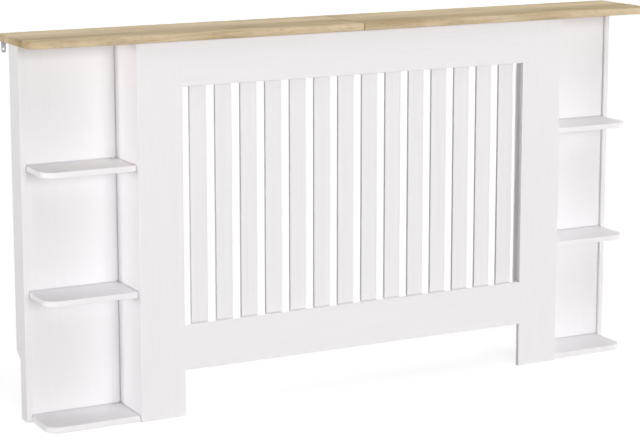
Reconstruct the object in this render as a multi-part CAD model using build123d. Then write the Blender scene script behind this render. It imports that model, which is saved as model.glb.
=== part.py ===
from build123d import *
import os

# Radiator cover cabinet: a slatted front frame on two side panels, a shallow wing of
# shelves at each end and an oak-effect top in two halves.  Millimetres.
# X runs along the cover, the front faces -Y, +Z is up.  The origin is on the floor,
# under the middle of the whole outline.

# ---- driving dimensions ----------------------------------------------------------

# heights
body_height = 800.0            # floor to the underside of the top boards
top_thickness = 15.0
foot_height = 100.0            # floor to the bottom rail
bottom_rail_height = 98.5
top_rail_height = 96.5

# widths
frame_width = 1040.0           # over both stiles
stile_width = 101.0
wing_width = 213.5             # side panel's outer face to end panel's outer face
top_end_overhang = 21.5        # top board beyond each end panel

# depths
carcass_depth = 165.0          # frame's face to the rear edges of the panels
top_front_overhang = 18.0
top_rear_overhang = 7.0        # reaches the wall behind the panels
wing_back_setback = 117.0      # frame's face to the wing back's face
end_panel_proud = 7.0          # end panel's front edge in front of the wing back's face
shelf_setback = 8.0            # frame's face to the shelves' front edges

# board thicknesses
frame_thickness = 9.5
panel_thickness = 12.0
wing_back_thickness = 9.5
shelf_thickness = 12.0

# slats and battens
slat_count = 14
slat_width = 38.5
slat_thickness = 7.0
slat_lap = 25.0                # each end behind its rail
batten_width = 30.0
batten_depth = 17.5
batten_end_gap = 10.0          # short of the bottom rail's lower edge and of the top
batten_screw_count = 4
side_dowel_count = 4

# shelves
shelf_count = 3
shelf_floor_gap = 1.5          # keeps the lowest shelf off an uneven floor
shelf_corner_radius = 30.0

# top boards
top_corner_radius = 35.0

# rounded arrises
edge_round = 1.0               # top boards and shelves
board_arris = 0.8              # the other boards, along the edges that show

# skirting-board cut-out, low at the rear of all four upright panels
notch_depth = 22.5
notch_height = 130.0
notch_rise = 15.0              # sloped upper end of the cut-out

# rear stretcher
stretcher_height = 60.0
stretcher_thickness = 12.0

# screws, each countersunk: diameter, head diameter
slat_screw_diameter = 3.0
slat_screw_head = 6.0
board_screw_diameter = 3.5
board_screw_head = 7.0
plate_screw_diameter = 3.0
plate_screw_head = 5.5
screw_skin = 2.5               # wood left in front of a screw's point
top_screw_skin = 6.0           # the same in the top boards
screw_point_radius = 0.3
shelf_screw_bite = 22.0        # shelf screw's length inside the shelf
stretcher_screw_bite = 30.0

# dowels
dowel_diameter = 6.0
thin_dowel_diameter = 5.0      # in the 9.5 mm boards
dowel_bite = 16.0              # length in an edge
dowel_skin = 3.0               # wood left in front of a dowel in a board's face
frame_dowel_bite = 15.0
top_dowel_diameter = 8.0
top_dowel_bite = 18.0
top_dowel_spacing = 70.0
dowel_chamfer = 0.5
fit_clearance = 0.1            # round and at the ends of dowels and screws

# flat plates across the top boards' joint
plate_length = 70.0
plate_width = 20.0
plate_thickness = 2.0
plate_corner_radius = 4.0
plate_hole_inset = 10.0
plate_hole_spacing = 14.0      # between the two holes on each side of the joint
plate_spacing = 70.0           # between the two plates, front to back

# small angle brackets under the top boards
bracket_leg = 20.0
bracket_width = 16.0
bracket_thickness = 1.5
bracket_hole_height = 11.0     # from the bend to the hole
joint_bracket_offset = 125.0   # from the top boards' joint, along the top rail
stile_bracket_inset = 105.0    # from the stile's inner edge, along the top rail
side_bracket_spacing = 60.0    # between the two on each side panel

# wall brackets under the top's rear corners
wall_bracket_width = 10.0
wall_bracket_drop = 26.0
wall_bracket_foot = 32.0
wall_bracket_thickness = 2.0
wall_bracket_gap = 3.5         # clear of the end panel's outer face
wall_hole_diameter = 4.5
wall_hole_height = 18.0        # below the top boards
wall_foot_screw_inset = 7.0
wall_foot_screw_spacing = 16.0

# ---- planes worked out from them -------------------------------------------------

depth = top_front_overhang + carcass_depth + top_rear_overhang
top_length = frame_width + 2 * (wing_width + top_end_overhang)
total_height = body_height + top_thickness

top_front = -depth / 2
top_back = depth / 2
frame_front = top_front + top_front_overhang
frame_back = frame_front + frame_thickness
panel_back = frame_front + carcass_depth
slat_back = frame_back + slat_thickness
batten_back = frame_back + batten_depth
wing_back_front = frame_front + wing_back_setback
wing_back_rear = wing_back_front + wing_back_thickness
end_panel_front = wing_back_front - end_panel_proud
shelf_front = frame_front + shelf_setback

frame_end = frame_width / 2
opening_end = frame_end - stile_width
side_inner = frame_end - panel_thickness
end_outer = frame_end + wing_width
end_inner = end_outer - panel_thickness
top_end = top_length / 2

opening_bottom = foot_height + bottom_rail_height
opening_top = body_height - top_rail_height
stretcher_bottom = body_height - stretcher_height
stretcher_front = panel_back - stretcher_thickness

slat_gap = (2 * opening_end - slat_count * slat_width) / (slat_count + 1)
slat_pitch = slat_width + slat_gap
shelf_clear = (body_height - shelf_floor_gap - shelf_count * shelf_thickness) / shelf_count
shelf_pitch = shelf_clear + shelf_thickness

BACK, DOWN = (0, 1, 0), (0, 0, -1)
LEFT, RIGHT = (-1, 0, 0), (1, 0, 0)

SIDES = {"left": -1, "right": 1}


# ---- building helpers ------------------------------------------------------------

def block(x, y, z):
    """Box between two X, two Y and two Z values, each pair in any order."""
    corner = [min(pair) for pair in (x, y, z)]
    size = [abs(pair[1] - pair[0]) for pair in (x, y, z)]
    return Pos(*corner) * Box(*size, align=(Align.MIN, Align.MIN, Align.MIN))


def place(solid, point, facing):
    """Turn a solid made along +Z to face a direction, and bring it to a point."""
    return Plane(origin=point, z_dir=facing) * solid


def screw(length, diameter, head):
    """Countersunk screw: head flush at the origin, point towards -Z."""
    head_depth = (head - diameter) / 2
    tip = diameter
    cone = Pos(0, 0, -head_depth / 2) * Cone(diameter / 2, head / 2, head_depth)
    shank_length = length - head_depth - tip
    shank = Pos(0, 0, -head_depth - shank_length / 2) * Cylinder(diameter / 2, shank_length)
    point = Pos(0, 0, -length + tip / 2) * Cone(screw_point_radius, diameter / 2, tip)
    return cone + shank + point


def screw_hole(length, diameter, head):
    """Hole that takes such a screw with the fit clearance all round."""
    head_depth = (head - diameter) / 2
    gap = fit_clearance
    sink = Pos(0, 0, -head_depth / 2) * Cone(diameter / 2 + gap, head / 2 + gap, head_depth)
    mouth = Pos(0, 0, gap / 2) * Cylinder(head / 2 + gap, gap)
    shank = Pos(0, 0, -(length + gap) / 2) * Cylinder(diameter / 2 + gap, length + gap)
    return sink + mouth + shank


def dowel(before, after, diameter):
    """Dowel across the origin: `before` long towards -Z, `after` long towards +Z."""
    pin = Pos(0, 0, (after - before) / 2) * Cylinder(diameter / 2, before + after)
    return chamfer(pin.edges().filter_by(GeomType.CIRCLE), dowel_chamfer)


def dowel_hole(before, after, diameter):
    length = before + after + 2 * fit_clearance
    return Pos(0, 0, (after - before) / 2) * Cylinder(diameter / 2 + fit_clearance, length)


class Fixings:
    """One kind of fastener: its solids, and the holes to cut for them."""

    def __init__(self):
        self.solids = []
        self.holes = []

    def add_screw(self, point, facing, length, diameter, head):
        self.solids.append(place(screw(length, diameter, head), point, facing))
        self.holes.append(place(screw_hole(length, diameter, head), point, facing))

    def add_dowel(self, point, facing, before, after, diameter):
        self.solids.append(place(dowel(before, after, diameter), point, facing))
        self.holes.append(place(dowel_hole(before, after, diameter), point, facing))

    def group(self):
        return Compound(children=self.solids)


def drilled(board, *fixings):
    """The board, cut by the holes of every fixing that reaches it."""
    box = board.bounding_box()
    for fixing in fixings:
        near = [hole for hole in fixing.holes if box.overlaps(hole.bounding_box())]
        if near:
            board = board - near
    return board


def spread(count, low, high):
    """`count` values evenly spaced from low to high."""
    return [low + (high - low) * step / (count - 1) for step in range(count)]


# ---- fixings ---------------------------------------------------------------------

slat_centres = [(number - (slat_count - 1) / 2) * slat_pitch for number in range(slat_count)]
shelf_bottoms = [shelf_floor_gap + number * shelf_pitch for number in range(shelf_count)]

slat_screws = Fixings()
for x in slat_centres:
    for z in (opening_bottom - slat_lap / 2, opening_top + slat_lap / 2):
        slat_screws.add_screw((x, slat_back, z), BACK, slat_thickness + frame_thickness - screw_skin,
                              slat_screw_diameter, slat_screw_head)

batten_bottom = foot_height + batten_end_gap
batten_top = body_height - batten_end_gap
batten_screws = Fixings()
for side in SIDES.values():
    for z in spread(batten_screw_count, batten_bottom + batten_width, batten_top - batten_width):
        batten_screws.add_screw((side * (opening_end + batten_width / 2), batten_back, z), BACK,
                                batten_depth + frame_thickness - screw_skin,
                                board_screw_diameter, board_screw_head)

frame_dowels = Fixings()
for side in SIDES.values():
    for low, high in ((foot_height, opening_bottom), (opening_top, body_height)):
        rail_quarter = (high - low) / 4
        for z in (low + rail_quarter, high - rail_quarter):
            frame_dowels.add_dowel((side * opening_end, frame_front + frame_thickness / 2, z), RIGHT,
                                   frame_dowel_bite, frame_dowel_bite, thin_dowel_diameter)

side_dowels = Fixings()
for side in SIDES.values():
    for z in spread(side_dowel_count, foot_height / 2, body_height - top_rail_height / 2):
        side_dowels.add_dowel((side * (frame_end - panel_thickness / 2), frame_back, z), BACK,
                              frame_thickness - dowel_skin, dowel_bite, dowel_diameter)

panel_bite = panel_thickness - dowel_skin
wing_dowels = Fixings()
for side in SIDES.values():
    y = wing_back_front + wing_back_thickness / 2
    for z in [bottom + shelf_thickness + shelf_clear / 2 for bottom in shelf_bottoms]:
        wing_dowels.add_dowel((side * frame_end, y, z), (side, 0, 0),
                              panel_bite, dowel_bite, thin_dowel_diameter)
        wing_dowels.add_dowel((side * end_inner, y, z), (side, 0, 0),
                              dowel_bite, panel_bite, thin_dowel_diameter)

shelf_middle_x = (frame_end + end_inner) / 2
shelf_quarter_x = (end_inner - frame_end) / 4
shelf_middle_y = (shelf_front + wing_back_front) / 2
shelf_quarter_y = (wing_back_front - shelf_front) / 4
shelf_dowels = Fixings()
shelf_screws = Fixings()
for side in SIDES.values():
    for bottom in shelf_bottoms:
        z = bottom + shelf_thickness / 2
        for y in (shelf_middle_y - shelf_quarter_y, shelf_middle_y + shelf_quarter_y):
            shelf_dowels.add_dowel((side * frame_end, y, z), (side, 0, 0),
                                   panel_bite, dowel_bite, dowel_diameter)
        for x in (shelf_middle_x - shelf_quarter_x, shelf_middle_x + shelf_quarter_x):
            shelf_screws.add_screw((side * x, wing_back_rear, z), BACK,
                                   wing_back_thickness + shelf_screw_bite,
                                   board_screw_diameter, board_screw_head)

stretcher_screws = Fixings()
for side in SIDES.values():
    for z in (stretcher_bottom + stretcher_height / 4, body_height - stretcher_height / 4):
        stretcher_screws.add_screw((side * frame_end, panel_back - stretcher_thickness / 2, z),
                                   (side, 0, 0), panel_thickness + stretcher_screw_bite,
                                   board_screw_diameter, board_screw_head)

top_joint_dowels = Fixings()
for y in (-top_dowel_spacing, 0, top_dowel_spacing):
    top_joint_dowels.add_dowel((0, y, body_height + top_thickness / 2), RIGHT,
                               top_dowel_bite, top_dowel_bite, top_dowel_diameter)


# ---- plates and brackets ---------------------------------------------------------

def joint_plate(y):
    """Flat steel plate under the top boards' joint, four holes in a row."""
    plate = block((-plate_length / 2, plate_length / 2), (y - plate_width / 2, y + plate_width / 2),
                  (body_height - plate_thickness, body_height))
    return fillet(plate.edges().filter_by(Axis.Z), plate_corner_radius)


plate_places = (-plate_spacing / 2, plate_spacing / 2)
outer_hole = plate_length / 2 - plate_hole_inset
inner_hole = outer_hole - plate_hole_spacing
top_bite = top_thickness - top_screw_skin
top_joint_screws = Fixings()
for y in plate_places:
    for x in (-outer_hole, -inner_hole, inner_hole, outer_hole):
        top_joint_screws.add_screw((x, y, body_height - plate_thickness), DOWN,
                                   plate_thickness + top_bite, plate_screw_diameter,
                                   plate_screw_head)


def angle_bracket():
    """Steel angle with its outer corner at the origin: one leg along +Y, one down -Z."""
    flat = block((-bracket_width / 2, bracket_width / 2), (0, bracket_leg), (-bracket_thickness, 0))
    drop = block((-bracket_width / 2, bracket_width / 2), (0, bracket_thickness), (-bracket_leg, 0))
    return flat + drop


top_brackets = []
top_bracket_screws = Fixings()


def hold_top(x, y, inward, board_thickness):
    """An angle bracket in the corner of an upright board and the top, opening `inward`."""
    turn = {BACK: 0, LEFT: 90, RIGHT: -90}[inward]
    holder = Pos(x, y, body_height) * Rot(0, 0, turn) * angle_bracket()
    hole_x = x + inward[0] * bracket_hole_height
    hole_y = y + inward[1] * bracket_hole_height
    face_x = x + inward[0] * bracket_thickness
    face_y = y + inward[1] * bracket_thickness
    fixing = Fixings()
    fixing.add_screw((hole_x, hole_y, body_height - bracket_thickness), DOWN,
                     bracket_thickness + top_bite, plate_screw_diameter, plate_screw_head)
    fixing.add_screw((face_x, face_y, body_height - bracket_hole_height), inward,
                     bracket_thickness + board_thickness - screw_skin,
                     plate_screw_diameter, plate_screw_head)
    top_brackets.append(drilled(holder, fixing))
    top_bracket_screws.solids += fixing.solids
    top_bracket_screws.holes += fixing.holes


side_middle_y = (frame_back + stretcher_front) / 2
for side in SIDES.values():
    for x in (joint_bracket_offset, opening_end - stile_bracket_inset):
        hold_top(side * x, frame_back, BACK, frame_thickness)
    for y in (side_middle_y - side_bracket_spacing / 2, side_middle_y + side_bracket_spacing / 2):
        hold_top(side * side_inner, y, LEFT if side > 0 else RIGHT, panel_thickness)
    hold_top(side * shelf_middle_x, wing_back_rear, BACK, wing_back_thickness)

wall_bracket_x = end_outer + wall_bracket_gap + wall_bracket_width / 2
wall_hole_z = body_height - wall_hole_height
wall_bracket_screws = Fixings()
for side in SIDES.values():
    for step in (0, 1):
        y = top_back - wall_bracket_foot + wall_foot_screw_inset + step * wall_foot_screw_spacing
        wall_bracket_screws.add_screw((side * wall_bracket_x, y, body_height - wall_bracket_thickness),
                                      DOWN, wall_bracket_thickness + top_bite,
                                      plate_screw_diameter, plate_screw_head)


def wall_bracket(side):
    """Angle under the top's rear corner: foot under the board, rounded leg against the wall."""
    x = side * wall_bracket_x
    across = (x - wall_bracket_width / 2, x + wall_bracket_width / 2)
    foot = block(across, (top_back - wall_bracket_foot, top_back),
                 (body_height - wall_bracket_thickness, body_height))
    leg_face = top_back - wall_bracket_thickness
    round_centre = body_height - wall_bracket_drop + wall_bracket_width / 2
    leg = block(across, (leg_face, top_back), (round_centre, body_height))
    end = place(Cylinder(wall_bracket_width / 2, wall_bracket_thickness),
                (x, leg_face + wall_bracket_thickness / 2, round_centre), BACK)
    hole = place(Cylinder(wall_hole_diameter / 2, 2 * wall_bracket_thickness),
                 (x, leg_face + wall_bracket_thickness / 2, wall_hole_z), BACK)
    return drilled(foot + leg + end - hole, wall_bracket_screws)


# ---- boards ----------------------------------------------------------------------

def rounded_board(inner_x, outer_x, front, back, bottom, thickness, corner):
    """Flat board whose front outer corner is rounded, with its arrises eased.

    The inner end is a square butt joint, so it keeps sharp arrises.
    """
    board = block((inner_x, outer_x), (front, back), (bottom, bottom + thickness))
    upright = board.edges().filter_by(Axis.Z).sort_by_distance((outer_x, front, bottom))[0]
    board = fillet(upright, corner)
    showing = [edge for edge in board.edges().filter_by(Axis.Z, reverse=True)
               if abs(edge.center().X - inner_x) > edge_round
               and edge.center().Y < back - edge_round]
    return fillet(showing, edge_round)


def eased(board, *marks):
    """The board with a small round along each edge that passes through one of the marks."""
    return fillet([board.edges().sort_by_distance(mark)[0] for mark in marks], board_arris)


def upright_panel(x, front):
    """Panel from floor to top with the skirting-board cut-out at its lower rear."""
    cut = panel_back - notch_depth
    outline = Polyline((front, 0), (cut, 0), (cut, notch_height),
                       (panel_back, notch_height + notch_rise), (panel_back, body_height),
                       (front, body_height), close=True)
    # the outline is drawn in Y and Z, and pushed out along +X from the lower X value
    panel = extrude(make_face(outline), abs(x[1] - x[0]))
    return Plane(origin=(min(x), 0, 0), x_dir=(0, 1, 0), z_dir=(1, 0, 0)) * panel


half_way_up = body_height / 2
nodes = {}

for name, side in SIDES.items():
    nodes["top_board_" + name] = drilled(
        rounded_board(0, side * top_end, top_front, top_back, body_height, top_thickness,
                      top_corner_radius),
        top_joint_dowels, top_joint_screws, top_bracket_screws, wall_bracket_screws)
    nodes["stile_" + name] = drilled(
        eased(block((side * opening_end, side * frame_end), (frame_front, frame_back),
                    (0, body_height)),
              (side * frame_end, frame_front, half_way_up)),
        frame_dowels, side_dowels, batten_screws)
    nodes["batten_" + name] = drilled(
        eased(block((side * opening_end, side * (opening_end + batten_width)),
                    (frame_back, batten_back), (batten_bottom, batten_top)),
              (side * opening_end, batten_back, half_way_up),
              (side * (opening_end + batten_width), batten_back, half_way_up)),
        batten_screws)
    nodes["side_panel_" + name] = drilled(
        upright_panel((side * side_inner, side * frame_end), frame_back),
        side_dowels, wing_dowels, shelf_dowels, stretcher_screws, top_bracket_screws)
    nodes["wing_back_" + name] = drilled(
        block((side * frame_end, side * end_inner), (wing_back_front, wing_back_rear),
              (0, body_height)),
        wing_dowels, shelf_screws, top_bracket_screws)
    nodes["end_panel_" + name] = drilled(
        eased(upright_panel((side * end_inner, side * end_outer), end_panel_front),
              (side * end_inner, end_panel_front, half_way_up),
              (side * end_outer, end_panel_front, half_way_up)),
        wing_dowels)
    for level, bottom in zip(("lower", "middle", "upper"), shelf_bottoms):
        nodes["shelf_" + name + "_" + level] = drilled(
            rounded_board(side * frame_end, side * end_inner, shelf_front, wing_back_front, bottom,
                          shelf_thickness, shelf_corner_radius),
            shelf_dowels, shelf_screws)
    nodes["wall_bracket_" + name] = wall_bracket(side)

nodes["bottom_rail"] = drilled(
    eased(block((-opening_end, opening_end), (frame_front, frame_back),
                (foot_height, opening_bottom)),
          (0, frame_front, foot_height), (0, frame_front, opening_bottom)),
    frame_dowels, slat_screws)
nodes["top_rail"] = drilled(
    eased(block((-opening_end, opening_end), (frame_front, frame_back),
                (opening_top, body_height)),
          (0, frame_front, opening_top)),
    frame_dowels, slat_screws, top_bracket_screws)
for number, x in enumerate(slat_centres, start=1):
    slat_left = x - slat_width / 2
    slat_right = x + slat_width / 2
    nodes["slat_%02d" % number] = drilled(
        eased(block((slat_left, slat_right), (frame_back, slat_back),
                    (opening_bottom - slat_lap, opening_top + slat_lap)),
              (slat_left, frame_back, half_way_up), (slat_right, frame_back, half_way_up),
              (slat_left, slat_back, half_way_up), (slat_right, slat_back, half_way_up)),
        slat_screws)
nodes["rear_stretcher"] = drilled(
    eased(block((-side_inner, side_inner), (stretcher_front, panel_back),
                (stretcher_bottom, body_height)),
          (0, stretcher_front, stretcher_bottom), (0, panel_back, stretcher_bottom)),
    stretcher_screws)

nodes["top_joint_plates"] = Compound(children=[drilled(joint_plate(y), top_joint_screws)
                                               for y in plate_places])
nodes["top_brackets"] = Compound(children=top_brackets)

nodes["slat_screws"] = slat_screws.group()
nodes["batten_screws"] = batten_screws.group()
nodes["shelf_screws"] = shelf_screws.group()
nodes["stretcher_screws"] = stretcher_screws.group()
nodes["top_joint_screws"] = top_joint_screws.group()
nodes["top_bracket_screws"] = top_bracket_screws.group()
nodes["wall_bracket_screws"] = wall_bracket_screws.group()
nodes["frame_dowels"] = frame_dowels.group()
nodes["side_dowels"] = side_dowels.group()
nodes["wing_dowels"] = wing_dowels.group()
nodes["shelf_dowels"] = shelf_dowels.group()
nodes["top_joint_dowels"] = top_joint_dowels.group()

os.makedirs("parts", exist_ok=True)
for name, node in nodes.items():
    export_step(node, "parts/" + name + ".step")
print(len(nodes), "pieces, overall", top_length, "x", depth, "x", total_height, "mm")
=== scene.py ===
import math

import bmesh
import bpy
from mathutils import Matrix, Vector


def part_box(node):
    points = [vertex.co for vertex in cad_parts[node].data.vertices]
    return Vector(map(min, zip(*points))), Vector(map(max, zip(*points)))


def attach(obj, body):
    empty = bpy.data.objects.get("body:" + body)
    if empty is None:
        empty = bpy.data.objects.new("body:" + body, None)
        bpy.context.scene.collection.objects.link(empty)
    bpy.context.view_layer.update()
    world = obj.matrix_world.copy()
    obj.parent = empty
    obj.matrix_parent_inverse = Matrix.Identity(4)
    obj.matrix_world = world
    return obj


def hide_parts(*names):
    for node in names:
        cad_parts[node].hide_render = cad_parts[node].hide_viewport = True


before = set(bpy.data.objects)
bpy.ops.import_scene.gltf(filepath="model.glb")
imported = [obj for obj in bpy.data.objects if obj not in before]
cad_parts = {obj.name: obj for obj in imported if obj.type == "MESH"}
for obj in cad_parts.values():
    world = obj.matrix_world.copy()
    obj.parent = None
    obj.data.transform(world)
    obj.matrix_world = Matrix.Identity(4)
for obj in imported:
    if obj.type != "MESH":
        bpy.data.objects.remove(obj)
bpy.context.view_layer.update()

MM = 0.001

# nearly all the values of a noise texture lie in this span
NOISE_SPAN = {"From Min": 0.3, "From Max": 0.7}

# resin, lacquer, wood and powder coat bend light about alike
COAT_IOR = 1.5


# ---- colours, nodes and materials ------------------------------------------------

def linear(hex_colour):
    """An sRGB hex colour as the linear colour that a socket takes."""
    channels = [int(hex_colour[place:place + 2], 16) / 255 for place in (1, 3, 5)]
    channels = [c / 12.92 if c <= 0.04045 else ((c + 0.055) / 1.055) ** 2.4 for c in channels]
    return channels + [1.0]


def add(tree, kind, sockets=(), **settings):
    """Adds a node, sets it, and fills its sockets with values or with other nodes' outputs."""
    made = tree.nodes.new(kind)
    for name, value in settings.items():
        setattr(made, name, value)
    for name, value in dict(sockets).items():
        if isinstance(value, bpy.types.NodeSocket):
            tree.links.new(value, made.inputs[name])
        else:
            made.inputs[name].default_value = value
    return made


def finish_named(name):
    """An empty material with that name, and its node tree."""
    material = bpy.data.materials.new(name)
    material.use_nodes = True
    material.node_tree.nodes.clear()
    return material, material.node_tree


def show(tree, shader):
    """Makes the shader the material's surface."""
    add(tree, "ShaderNodeOutputMaterial", {"Surface": shader.outputs[0]})


# how far a corner's shade is looked for, and the share of open directions in the corner and
# beyond the rim of the painted corner shade
CORNER_SHADE_REACH = 5 * MM
CORNER_SHADE_OPEN = {"From Min": 0.54, "From Max": 0.9}

# no painted corner shade is drawn below the first height, and the whole of it above the second
CORNER_SHADE_FEET = {"From Min": 8 * MM, "From Max": 12 * MM}


def with_painted_corner_shade(tree, colour, corner_shade_colour):
    """Paints shade into the colour in the corners where two boards meet, but not along the
    floor:
    painted corner shade, darkest where nearby surfaces close in most.  The eased arrises and
    the shade between them are a line 1 mm wide; the painted shade is drawn up to 4 mm wide, so
    that it shows."""
    open_share = add(tree, "ShaderNodeAmbientOcclusion",
                     {"Distance": CORNER_SHADE_REACH}, samples=8).outputs["AO"]
    clear = add(tree, "ShaderNodeMapRange", {"Value": open_share, **CORNER_SHADE_OPEN},
                interpolation_type="SMOOTHSTEP").outputs[0]
    place = add(tree, "ShaderNodeTexCoord").outputs["Object"]
    height = add(tree, "ShaderNodeSeparateXYZ", {0: place}).outputs["Z"]
    at_floor = add(tree, "ShaderNodeMapRange",
                   {"Value": height, **CORNER_SHADE_FEET, "To Min": 1.0, "To Max": 0.0}).outputs[0]
    clear = add(tree, "ShaderNodeMath", {0: clear, 1: at_floor}, operation="MAXIMUM").outputs[0]
    return add(tree, "ShaderNodeMix",
               {0: clear, 6: linear(corner_shade_colour), 7: colour}, data_type="RGBA").outputs[2]


# streaks of pores 4 mm wide and 120 mm long, on upright and on level boards
UPRIGHT_GRAIN = (250.0, 250.0, 8.0)
LEVEL_GRAIN = (8.0, 250.0, 250.0)

# on a shelf 12 mm thick, how far the glued strip, drawn brighter as a painted highlight,
# reaches up and down from the middle
EDGE_STRIP_HIGHLIGHT = {"From Min": 5.5 * MM, "From Max": 5.9 * MM}


def white_melamine(name, grain, shelf_middle=None):
    """White melamine-faced chipboard.  Printed paper under hard resin, pressed on a steel
    plate cut with wood pores: a cool clean white, satin, with faint streaks along the board.
    The real pores are 0.3 mm wide; they are drawn 4 mm wide, so that they just show.  A shelf
    has a plain white strip glued on its edges, drawn a touch brighter than its faces: a painted
    highlight on the edges.  The strip is 12 mm thick, and `shelf_middle` is the height of the
    middle of that."""
    material, tree = finish_named(name)
    place = add(tree, "ShaderNodeTexCoord").outputs["Object"]
    along = add(tree, "ShaderNodeMapping", {"Vector": place, "Scale": grain}).outputs[0]
    pores = add(tree, "ShaderNodeTexNoise",
                {"Vector": along, "Scale": 1.0, "Detail": 3.0, "Roughness": 0.6}).outputs[0]
    cloud = add(tree, "ShaderNodeTexNoise",
                {"Vector": place, "Scale": 6.0, "Detail": 1.0}).outputs[0]
    tone = add(tree, "ShaderNodeMapRange", {"Value": pores, **NOISE_SPAN}).outputs[0]
    shade = add(tree, "ShaderNodeMix",
                {0: tone, 6: linear("#EFECEE"), 7: linear("#F2EFF1")},
                data_type="RGBA").outputs[2]
    drift = add(tree, "ShaderNodeMapRange",
                {"Value": cloud, **NOISE_SPAN, "To Max": 0.35}).outputs[0]
    colour = add(tree, "ShaderNodeMix",
                 {0: drift, 6: shade, 7: linear("#F1EEEF")}, data_type="RGBA").outputs[2]
    if shelf_middle:
        height = add(tree, "ShaderNodeSeparateXYZ", {0: place}).outputs["Z"]
        height = add(tree, "ShaderNodeMath",
                     {0: height, 1: shelf_middle}, operation="SUBTRACT").outputs[0]
        height = add(tree, "ShaderNodeMath", {0: height}, operation="ABSOLUTE").outputs[0]
        on_face = add(tree, "ShaderNodeMapRange", {"Value": height, **EDGE_STRIP_HIGHLIGHT}).outputs[0]
        # painted highlight: the glued edge strip is drawn brighter than the faces
        colour = add(tree, "ShaderNodeMix",
                     {0: on_face, 6: linear("#F6F3F5"), 7: colour}, data_type="RGBA").outputs[2]
    # painted shade in the corners where boards meet, in this grey
    colour = with_painted_corner_shade(tree, colour, "#C6C2C8")
    sheen = add(tree, "ShaderNodeMapRange",
                {"Value": pores, **NOISE_SPAN, "To Min": 0.52, "To Max": 0.44}).outputs[0]
    relief = add(tree, "ShaderNodeBump",
                 {"Height": pores, "Strength": 0.15, "Distance": 0.05 * MM}).outputs[0]
    show(tree, add(tree, "ShaderNodeBsdfPrincipled",
                   {"Base Color": colour, "Roughness": sheen, "IOR": COAT_IOR,
                    "Normal": relief}))
    return material


def white_lacquer(name):
    """White lacquered MDF strip.  Rolled lacquer on sanded fibre board: even and satin, with
    the faint long lines that the roller leaves, here 5 mm apart instead of 1 mm."""
    material, tree = finish_named(name)
    place = add(tree, "ShaderNodeTexCoord").outputs["Object"]
    along = add(tree, "ShaderNodeMapping",
                {"Vector": place, "Scale": (200.0, 200.0, 3.0)}).outputs[0]
    lines = add(tree, "ShaderNodeTexNoise",
                {"Vector": along, "Scale": 1.0, "Detail": 2.0}).outputs[0]
    tone = add(tree, "ShaderNodeMapRange", {"Value": lines, **NOISE_SPAN}).outputs[0]
    colour = add(tree, "ShaderNodeMix",
                 {0: tone, 6: linear("#EFECEE"), 7: linear("#F2EFF1")},
                 data_type="RGBA").outputs[2]
    # painted shade in the corners where boards meet, in this grey
    colour = with_painted_corner_shade(tree, colour, "#D8D4D9")
    fibre = add(tree, "ShaderNodeTexNoise",
                {"Vector": place, "Scale": 900.0, "Detail": 2.0}).outputs[0]
    sheen = add(tree, "ShaderNodeMapRange",
                {"Value": lines, "To Min": 0.5, "To Max": 0.4}).outputs[0]
    relief = add(tree, "ShaderNodeBump",
                 {"Height": fibre, "Strength": 0.15, "Distance": 0.04 * MM}).outputs[0]
    show(tree, add(tree, "ShaderNodeBsdfPrincipled",
                   {"Base Color": colour, "Roughness": sheen, "IOR": COAT_IOR,
                    "Normal": relief}))
    return material


# the log's heart, 35 mm in front of the board's middle and 70 mm under its surface, as the
# Mapping node takes it, and how much the log sinks along its length, in radians
LOG_HEART = (0.0, 0.035, -0.745)
LOG_DIP = (0.0, 0.03, 0.0)

# half the width of the browner heart band, and how far it sways to each side at most
HEART_HALF_WIDTH = 80 * MM
HEART_SWAY = 30 * MM

# how far the colour goes from the pale wood to the brown one, of 1, in the middle of the
# heart band, in a ring, and across a fine fibre to either side; and towards a pore's dark
HEART_DEPTH = 0.42
RING_DEPTH = 0.16
FIBRE_DEPTH = 0.07
PORE_DEPTH = 0.3

# how far from the middle joint the browner board end fades
BOARD_END = {"From Min": 50 * MM, "From Max": 250 * MM}

# the top's face lies 815 mm high, and the glued edge band ends just under it
EDGE_BAND = {"From Min": 814.0 * MM, "From Max": 814.6 * MM}

# half widths of the seam between the top's halves, the dark middle and the soft rim
TOP_SEAM = {"From Min": 0.5 * MM, "From Max": 1.8 * MM}


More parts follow.
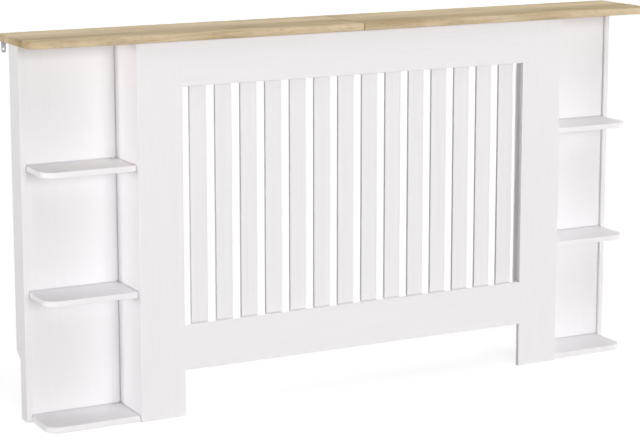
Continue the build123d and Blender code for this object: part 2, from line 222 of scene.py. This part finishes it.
def light_oak(name, cut, paler, heart_line, lean, end_tone):
    """Light oak decor foil on chipboard.  A print of a plain-sawn oak board under dead matt
    resin: warm straw with long soft brown streaks, a browner heart band, growth rings that
    widen into arches, fine fibre and short open pores.  Each half shows another length of
    the printed board, which starts at `cut` and is paler by `paler`.  Its heart band crosses
    the middle joint at depth `heart_line` and leans to the rear by `lean` degrees; beside the
    joint the board is browner by `end_tone`."""
    material, tree = finish_named(name)
    place = add(tree, "ShaderNodeTexCoord").outputs["Object"]
    board = add(tree, "ShaderNodeMapping",
                {"Vector": place, "Location": (cut, 0.0, 0.0)}).outputs[0]

    # the log wanders along its length, so the rings do too
    bend = add(tree, "ShaderNodeMapping",
               {"Vector": board, "Scale": (2.2, 7.0, 7.0)}).outputs[0]
    wander = add(tree, "ShaderNodeTexNoise",
                 {"Vector": bend, "Scale": 1.0, "Detail": 3.0,
                  "Roughness": 0.5}).outputs["Color"]
    offset = add(tree, "ShaderNodeVectorMath",
                 {0: wander, 1: (0.5, 0.5, 0.5)}, operation="SUBTRACT").outputs[0]
    offset = add(tree, "ShaderNodeVectorMath",
                 {0: offset, 1: (0.0, 0.05, 0.03)}, operation="MULTIPLY").outputs[0]
    log = add(tree, "ShaderNodeVectorMath", {0: board, 1: offset}, operation="ADD").outputs[0]

    # rings 11 mm apart
    log = add(tree, "ShaderNodeMapping",
              {"Vector": log, "Location": LOG_HEART, "Rotation": LOG_DIP}).outputs[0]
    rings = add(tree, "ShaderNodeTexWave",
                {"Vector": log, "Scale": 28.0, "Distortion": 1.5, "Detail": 2.0,
                 "Detail Scale": 0.4},
                wave_type="RINGS", rings_direction="X", wave_profile="SAW").outputs["Fac"]
    rings = add(tree, "ShaderNodeMath", {0: rings, 1: 1.6}, operation="POWER").outputs[0]

    # fibre 1.5 mm wide and 90 mm long
    fine = add(tree, "ShaderNodeMapping",
               {"Vector": board, "Scale": (11.0, 650.0, 650.0)}).outputs[0]
    fibre = add(tree, "ShaderNodeTexNoise",
                {"Vector": fine, "Scale": 1.0, "Detail": 3.0, "Roughness": 0.6}).outputs[0]

    # soft streaks 35 mm wide and 220 mm long
    wide = add(tree, "ShaderNodeMapping",
               {"Vector": board, "Scale": (4.5, 29.0, 20.0)}).outputs[0]
    streak = add(tree, "ShaderNodeTexNoise",
                 {"Vector": wide, "Scale": 1.0, "Detail": 3.0, "Roughness": 0.55}).outputs[0]

    # the browner heart
    leaning = add(tree, "ShaderNodeMapping",
                  {"Vector": place, "Location": (0.0, -heart_line, 0.0),
                   "Rotation": (0.0, 0.0, math.radians(-lean))}).outputs[0]
    across = add(tree, "ShaderNodeSeparateXYZ", {0: leaning}).outputs["Y"]
    sway = add(tree, "ShaderNodeMapRange",
               {"Value": streak, "To Min": -HEART_SWAY, "To Max": HEART_SWAY}).outputs[0]
    heart = add(tree, "ShaderNodeMath", {0: across, 1: sway}, operation="ADD").outputs[0]
    heart = add(tree, "ShaderNodeMath", {0: heart}, operation="ABSOLUTE").outputs[0]
    heart = add(tree, "ShaderNodeMapRange",
                {"Value": heart, "From Min": 0.0, "From Max": HEART_HALF_WIDTH,
                 "To Min": HEART_DEPTH, "To Max": 0.0},
                interpolation_type="SMOOTHSTEP").outputs[0]
    where = add(tree, "ShaderNodeSeparateXYZ", {0: place}).outputs
    beside = add(tree, "ShaderNodeMath", {0: where["X"]}, operation="ABSOLUTE").outputs[0]
    board_end = add(tree, "ShaderNodeMapRange",
                    {"Value": beside, **BOARD_END, "To Min": end_tone, "To Max": 0.0},
                    interpolation_type="SMOOTHSTEP").outputs[0]

    streaks = add(tree, "ShaderNodeMapRange",
                  {"Value": streak, **NOISE_SPAN,
                   "To Min": -0.04 - paler, "To Max": 0.46 - paler}).outputs[0]
    ring_share = add(tree, "ShaderNodeMath",
                     {0: rings, 1: RING_DEPTH}, operation="MULTIPLY").outputs[0]
    fine_share = add(tree, "ShaderNodeMapRange",
                     {"Value": fibre, **NOISE_SPAN,
                      "To Min": -FIBRE_DEPTH, "To Max": FIBRE_DEPTH}).outputs[0]
    depth = add(tree, "ShaderNodeMath", {0: heart, 1: streaks}, operation="ADD").outputs[0]
    depth = add(tree, "ShaderNodeMath", {0: depth, 1: board_end}, operation="ADD").outputs[0]
    depth = add(tree, "ShaderNodeMath", {0: depth, 1: ring_share}, operation="ADD").outputs[0]
    depth = add(tree, "ShaderNodeMath", {0: depth, 1: fine_share}, operation="ADD").outputs[0]
    face = add(tree, "ShaderNodeMix",
               {0: depth, 6: linear("#E9D3AD"), 7: linear("#A18655")},
               data_type="RGBA").outputs[2]

    # the edges carry a glued band; its tone is drawn greyer than the face's and the face's
    # richer, painted light that makes up for the pale sheen the face takes when seen low
    band_tint_for_sheen = add(tree, "ShaderNodeMix",
               {0: depth, 6: linear("#E1CDAD"), 7: linear("#9B8054")},
               data_type="RGBA").outputs[2]
    on_face = add(tree, "ShaderNodeMapRange", {"Value": where["Z"], **EDGE_BAND}).outputs[0]
    colour = add(tree, "ShaderNodeMix",
                 {0: on_face, 6: band_tint_for_sheen, 7: face}, data_type="RGBA").outputs[2]

    # open pores, short dark dashes 1 mm wide and 14 mm long
    dash = add(tree, "ShaderNodeMapping",
               {"Vector": board, "Scale": (70.0, 900.0, 900.0)}).outputs[0]
    pores = add(tree, "ShaderNodeTexNoise",
                {"Vector": dash, "Scale": 1.0, "Detail": 0.0}).outputs[0]
    pores = add(tree, "ShaderNodeMapRange",
                {"Value": pores, "From Min": 0.66, "From Max": 0.74}).outputs[0]
    pore_share = add(tree, "ShaderNodeMath",
                     {0: pores, 1: PORE_DEPTH}, operation="MULTIPLY").outputs[0]
    colour = add(tree, "ShaderNodeMix",
                 {0: pore_share, 6: colour, 7: linear("#8C7350")}, data_type="RGBA").outputs[2]

    # the seam between the halves: brown board edge 1 mm wide, with a soft rim so that it shows
    clear = add(tree, "ShaderNodeMapRange", {"Value": beside, **TOP_SEAM},
                interpolation_type="SMOOTHSTEP").outputs[0]
    colour = add(tree, "ShaderNodeMix",
                 {0: clear, 6: linear("#8A7452"), 7: colour}, data_type="RGBA").outputs[2]

    sheen = add(tree, "ShaderNodeMapRange",
                {"Value": fibre, "To Min": 0.86, "To Max": 0.76}).outputs[0]
    height = add(tree, "ShaderNodeMath", {0: fibre, 1: pores}, operation="SUBTRACT").outputs[0]
    relief = add(tree, "ShaderNodeBump",
                 {"Height": height, "Strength": 0.3, "Distance": 0.06 * MM}).outputs[0]
    show(tree, add(tree, "ShaderNodeBsdfPrincipled",
                   {"Base Color": colour, "Roughness": sheen, "IOR": COAT_IOR,
                    "Specular IOR Level": 0.12, "Normal": relief}))
    return material


def beech(name):
    """Turned beech dowel rod.  Pale pinkish wood with short flecks along the grain."""
    material, tree = finish_named(name)
    place = add(tree, "ShaderNodeTexCoord").outputs["Object"]
    flecks = add(tree, "ShaderNodeTexNoise",
                 {"Vector": place, "Scale": 450.0, "Detail": 3.0}).outputs[0]
    colour = add(tree, "ShaderNodeMix",
                 {0: flecks, 6: linear("#D9B98C"), 7: linear("#C29C6E")},
                 data_type="RGBA").outputs[2]
    sheen = add(tree, "ShaderNodeMapRange",
                {"Value": flecks, "To Min": 0.7, "To Max": 0.55}).outputs[0]
    relief = add(tree, "ShaderNodeBump",
                 {"Height": flecks, "Strength": 0.3, "Distance": 0.1 * MM}).outputs[0]
    show(tree, add(tree, "ShaderNodeBsdfPrincipled",
                   {"Base Color": colour, "Roughness": sheen, "IOR": COAT_IOR,
                    "Normal": relief}))
    return material


def zinc_plate(name, dull, bright):
    """Zinc-plated steel.  A bright bluish metal with a cloudy plated film and fine drawing
    lines, which spread its highlights."""
    material, tree = finish_named(name)
    place = add(tree, "ShaderNodeTexCoord").outputs["Object"]
    film = add(tree, "ShaderNodeTexNoise",
               {"Vector": place, "Scale": 220.0, "Detail": 3.0}).outputs[0]
    colour = add(tree, "ShaderNodeMix",
                 {0: film, 6: linear(dull), 7: linear(bright)}, data_type="RGBA").outputs[2]
    sheen = add(tree, "ShaderNodeMapRange",
                {"Value": film, "To Min": 0.28, "To Max": 0.42}).outputs[0]
    drawn = add(tree, "ShaderNodeMapping",
                {"Vector": place, "Scale": (400.0, 2500.0, 2500.0)}).outputs[0]
    lines = add(tree, "ShaderNodeTexNoise",
                {"Vector": drawn, "Scale": 1.0, "Detail": 2.0}).outputs[0]
    relief = add(tree, "ShaderNodeBump",
                 {"Height": lines, "Strength": 0.2, "Distance": 0.02 * MM}).outputs[0]
    show(tree, add(tree, "ShaderNodeBsdfPrincipled",
                   {"Base Color": colour, "Metallic": 1.0, "Roughness": sheen,
                    "Normal": relief}))
    return material


def grey_powder_coat(name):
    """Light grey powder coat on steel.  Melted resin powder: cool grey, half matt, with a
    fine orange-peel skin of 1.5 mm bumps."""
    material, tree = finish_named(name)
    place = add(tree, "ShaderNodeTexCoord").outputs["Object"]
    peel = add(tree, "ShaderNodeTexNoise",
               {"Vector": place, "Scale": 650.0, "Detail": 1.0}).outputs[0]
    colour = add(tree, "ShaderNodeMix",
                 {0: peel, 6: linear("#C6C3CF"), 7: linear("#D0CED8")},
                 data_type="RGBA").outputs[2]
    sheen = add(tree, "ShaderNodeMapRange",
                {"Value": peel, "To Min": 0.5, "To Max": 0.38}).outputs[0]
    relief = add(tree, "ShaderNodeBump",
                 {"Height": peel, "Strength": 0.3, "Distance": 0.08 * MM}).outputs[0]
    show(tree, add(tree, "ShaderNodeBsdfPrincipled",
                   {"Base Color": colour, "Roughness": sheen, "IOR": COAT_IOR,
                    "Normal": relief}))
    return material


white_upright = white_melamine("white_melamine_upright", UPRIGHT_GRAIN)
white_level = white_melamine("white_melamine_level", LEVEL_GRAIN)
white_strip = white_lacquer("white_lacquered_mdf")
oak_left = light_oak("light_oak_foil_left", cut=5.1, paler=0.02,
                     heart_line=-35 * MM, lean=0.5, end_tone=0.0)
oak_right = light_oak("light_oak_foil_right", cut=4.3, paler=0.14,
                      heart_line=-68 * MM, lean=2.5, end_tone=0.16)
beech_rod = beech("turned_beech")
plated_screw = zinc_plate("zinc_plated_screw", "#B4B8BC", "#CDD0D2")
plated_sheet = zinc_plate("zinc_plated_sheet", "#BDC0C3", "#D4D6D7")
coated_grey = grey_powder_coat("grey_powder_coat")

# the finish of each node, by how the node's name starts
FINISHES = {
    "stile": white_upright,
    "batten": white_upright,
    "side_panel": white_upright,
    "wing_back": white_upright,
    "end_panel": white_upright,
    "bottom_rail": white_level,
    "top_rail": white_level,
    "rear_stretcher": white_level,
    "slat_": white_strip,
    "top_board_left": oak_left,
    "top_board_right": oak_right,
    "frame_dowels": beech_rod,
    "side_dowels": beech_rod,
    "wing_dowels": beech_rod,
    "shelf_dowels": beech_rod,
    "top_joint_dowels": beech_rod,
    "top_joint_plates": plated_sheet,
    "top_brackets": plated_sheet,
    "wall_bracket": coated_grey,
}
for level in ("lower", "middle", "upper"):
    low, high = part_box("shelf_left_" + level)
    shelf = white_melamine("white_melamine_shelf_" + level, LEVEL_GRAIN, (low[2] + high[2]) / 2)
    FINISHES["shelf_left_" + level] = FINISHES["shelf_right_" + level] = shelf

for name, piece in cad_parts.items():
    for start, material in FINISHES.items():
        if name.startswith(start):
            for slot in piece.material_slots:
                slot.material = material


# ---- screws ----------------------------------------------------------------------

# diameters of head and shank, in millimetres, of the screws in each node
SCREWS = {
    "slat_screws": (6.0, 3.0),
    "batten_screws": (7.0, 3.5),
    "shelf_screws": (7.0, 3.5),
    "stretcher_screws": (7.0, 3.5),
    "top_joint_screws": (5.5, 3.0),
    "top_bracket_screws": (5.5, 3.0),
    "wall_bracket_screws": (5.5, 3.0),
}

# points of a mesh nearer than the first are one point; ends nearer than the second are level
SAME_POINT = 0.001 * MM
LEVEL_POINT = 0.01 * MM

# the cross recess, in shares of the head's diameter: how wide, long and deep each arm is; and
# the shares of its length and width that are left at its floor
ARM_WIDTH, ARM_LENGTH, ARM_DEPTH = 0.14, 0.6, 0.28
FLOOR_LENGTH, FLOOR_WIDTH = 0.35, 0.6

# the head's upright rim and its bevel, the sides of a screw, and the share of the shank's
# width that is left at the point
HEAD_RIM = 0.2 * MM
HEAD_BEVEL = 0.12 * MM
SCREW_SIDES = 20
POINT_WIDTH = 0.2


def only(piece):
    """Leaves that piece alone selected and active."""
    bpy.ops.object.select_all(action="DESELECT")
    piece.select_set(True)
    bpy.context.view_layer.objects.active = piece


def screw_places(node):
    """Head centre, direction of the point and length of each screw in a CAD node."""
    merged = bmesh.new()
    merged.from_mesh(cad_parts[node].data)
    bmesh.ops.remove_doubles(merged, verts=merged.verts, dist=SAME_POINT)
    unseen, places = set(merged.verts), []
    while unseen:
        found, waiting = [], [unseen.pop()]
        while waiting:
            vertex = waiting.pop()
            found.append(vertex.co.copy())
            for edge in vertex.link_edges:
                other = edge.other_vert(vertex)
                if other in unseen:
                    unseen.remove(other)
                    waiting.append(other)
        low = Vector(map(min, *found))
        high = Vector(map(max, *found))
        length = max(high - low)
        axis = list(high - low).index(length)
        ends = [[p for p in found if abs(p[axis] - end[axis]) < LEVEL_POINT]
                for end in (low, high)]
        reach = [max((p - q).length for p in end for q in end) for end in ends]
        head = (low + high) / 2
        head[axis] = high[axis] if reach[1] > reach[0] else low[axis]
        point = Vector((0, 0, 0))
        point[axis] = -1 if reach[1] > reach[0] else 1
        places.append((head, point, length))
    merged.free()
    return sorted(places, key=lambda place: tuple(place[0]))


def cut_away(piece, cutter):
    """Takes the cutter's shape out of the piece, and removes the cutter."""
    only(piece)
    cut = piece.modifiers.new("cut", "BOOLEAN")
    cut.object, cut.operation, cut.solver = cutter, "DIFFERENCE", "EXACT"
    bpy.ops.object.modifier_apply(modifier=cut.name)
    bpy.data.objects.remove(cutter)


def recess_arm(head, turn):
    """One tapered bar of a cross recess, its top a little above the screw's head."""
    width, length, depth = ARM_WIDTH * head, ARM_LENGTH * head, ARM_DEPTH * head
    bpy.ops.object.select_all(action="DESELECT")
    bpy.ops.mesh.primitive_cube_add(size=1.0, location=(0, 0, 0))
    arm = bpy.context.object
    bpy.ops.object.mode_set(mode="EDIT")
    bpy.ops.transform.resize(value=(length, width, depth * 1.2))
    bpy.ops.transform.translate(value=(0, 0, -depth * 0.4))
    shape = bmesh.from_edit_mesh(arm.data)
    for face in shape.faces:
        face.select_set(face.normal.z < -0.5)
    bmesh.update_edit_mesh(arm.data)
    bpy.ops.transform.resize(value=(FLOOR_LENGTH, FLOOR_WIDTH, 1.0))
    bpy.ops.mesh.select_all(action="SELECT")
    bpy.ops.transform.rotate(value=turn, orient_axis="Z", center_override=(0, 0, 0))
    bpy.ops.object.mode_set(mode="OBJECT")
    return arm


def cross_head_screw(head, shank, length):
    """Countersunk screw with a cross recess, head flush at the origin, point towards -Z."""
    sink = (head - shank) / 2
    bpy.ops.object.select_all(action="DESELECT")
    bpy.ops.mesh.primitive_circle_add(vertices=SCREW_SIDES, radius=head / 2,
                                      fill_type="NGON", location=(0, 0, 0))
    screw = bpy.context.object
    bpy.ops.object.mode_set(mode="EDIT")
    bpy.ops.mesh.select_all(action="SELECT")
    for drop, size in ((HEAD_RIM, 1.0), (sink - HEAD_RIM, shank / head),
                       (length - sink - shank, 1.0), (shank, POINT_WIDTH)):
        bpy.ops.mesh.extrude_region_move(TRANSFORM_OT_translate={"value": (0, 0, -drop)})
        bpy.ops.transform.resize(value=(size, size, 1.0))
    bpy.ops.mesh.select_all(action="SELECT")
    bpy.ops.mesh.normals_make_consistent(inside=False)
    shape = bmesh.from_edit_mesh(screw.data)
    for edge in shape.edges:
        edge.select_set(all(abs(v.co.z) < LEVEL_POINT for v in edge.verts))
    bmesh.update_edit_mesh(screw.data)
    bpy.ops.mesh.bevel(offset=HEAD_BEVEL, segments=1)
    bpy.ops.object.mode_set(mode="OBJECT")
    for turn in (0.0, math.pi / 2):
        cut_away(screw, recess_arm(head, turn))
    only(screw)
    bpy.ops.object.shade_smooth_by_angle(angle=math.radians(35))
    return screw


def drive_screws(node, head, shank):
    """Puts a detailed screw in the place of each plain one of a CAD node."""
    copies, patterns = [], {}
    for place, point, length in screw_places(node):
        size = round(length / MM, 2)
        if size not in patterns:
            patterns[size] = cross_head_screw(head * MM, shank * MM, length)
        only(patterns[size])
        bpy.ops.object.duplicate()
        copy = bpy.context.object
        copy.location = place
        copy.rotation_mode = "QUATERNION"
        copy.rotation_quaternion = Vector((0, 0, -1)).rotation_difference(point)
        bpy.ops.object.transform_apply(location=True, rotation=True, scale=True)
        copies.append(copy)
    for pattern in patterns.values():
        bpy.data.objects.remove(pattern)
    only(copies[0])
    for copy in copies:
        copy.select_set(True)
    bpy.ops.object.join()
    screws = bpy.context.object
    screws.name = screws.data.name = node + "_cross_head"
    screws.data.materials.clear()
    screws.data.materials.append(plated_screw)
    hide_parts(node)
    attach(screws, "root")


for node, (head, shank) in SCREWS.items():
    drive_screws(node, head, shank)


# ---- floor, backdrop, light and camera -------------------------------------------

def seen_directly(tree):
    """1 for a ray from the camera or from a mirror or glass, otherwise 0."""
    ray = add(tree, "ShaderNodeLightPath").outputs
    seen = add(tree, "ShaderNodeMath", {0: ray["Is Camera Ray"], 1: ray["Is Glossy Ray"]},
               operation="MAXIMUM").outputs[0]
    return add(tree, "ShaderNodeMath", {0: seen, 1: ray["Is Transmission Ray"]},
               operation="MAXIMUM").outputs[0]


# pale studio floor: the camera sees plain white, greyed where the object keeps the light off;
# this glow lifts the lit floor to white and leaves the shadow
FLOOR_GLOW = 0.62
FLOOR_SIZE = 80.0

floor_paint, tree = finish_named("pale_studio_floor")
white_share = add(tree, "ShaderNodeMath",
                  {0: seen_directly(tree), 1: FLOOR_GLOW}, operation="MULTIPLY")
paint = add(tree, "ShaderNodeBsdfDiffuse", {"Color": linear("#D2D2D2")})
glow = add(tree, "ShaderNodeEmission",
           {"Color": linear("#FFFFFF"), "Strength": white_share.outputs[0]})
show(tree, add(tree, "ShaderNodeAddShader", {0: paint.outputs[0], 1: glow.outputs[0]}))

bpy.ops.object.select_all(action="DESELECT")
bpy.ops.mesh.primitive_plane_add(size=FLOOR_SIZE, location=(0, 0, 0))
floor = bpy.context.object
floor.name = "studio_floor"
floor.data.materials.append(floor_paint)

world = bpy.data.worlds.new("white_studio")
bpy.context.scene.world = world
world.use_nodes = True
world.node_tree.nodes.clear()
tree = world.node_tree
air = add(tree, "ShaderNodeBackground", {"Color": linear("#FFFFFF"), "Strength": 0.0})
backdrop = add(tree, "ShaderNodeBackground", {"Color": linear("#FFFFFF"), "Strength": 1.0})
both = add(tree, "ShaderNodeMixShader",
           {0: seen_directly(tree), 1: air.outputs[0], 2: backdrop.outputs[0]})
add(tree, "ShaderNodeOutputWorld", {"Surface": both.outputs[0]})

# a ring of soft lamps, low all round and weaker from above: name, turn from straight in front
# towards +X and height above the floor in degrees, strength, and width in degrees
LAMPS = (
    ("front_lamp", 0, 0, 3.45, 40),
    ("left_lamp", -91, 1, 2.2, 11),
    ("right_lamp", 90, 10, 1.9, 40),
    ("rear_lamp", 170, 12, 2.2, 40),
    ("high_lamp", 0, 60, 0.6, 40),
    ("top_lamp", 0, 88, 0.4, 60),
)
for name, turn, height, strength, width in LAMPS:
    bpy.ops.object.light_add(type="SUN", location=(0, 0, 3))  # a sun lights from any place
    lamp = bpy.context.object
    lamp.name = name
    lamp.data.energy = strength
    lamp.data.angle = math.radians(width)
    lamp.rotation_euler = (math.radians(90 - height), 0, math.radians(turn))

# the photograph's viewing angle: in front, to the left and above, with a long lens in
# millimetres; the shift keeps the uprights near parallel and the object in its place
CAMERA_PLACE = (-2.1279, -3.8993, 1.2802)
CAMERA_DIP = 10.18
CAMERA_TURN = -27.97
FILM_WIDTH = 36.0
LENS_LENGTH = 115.2
LENS_SHIFT = -0.08

bpy.ops.object.camera_add(location=CAMERA_PLACE)
camera = bpy.context.object
camera.rotation_euler = (math.radians(90 - CAMERA_DIP), 0, math.radians(CAMERA_TURN))
camera.data.sensor_width = FILM_WIDTH
camera.data.lens = LENS_LENGTH
camera.data.shift_y = LENS_SHIFT
bpy.context.scene.camera = camera
bpy.context.scene.view_settings.view_transform = "Standard"

bpy.context.view_layer.update()
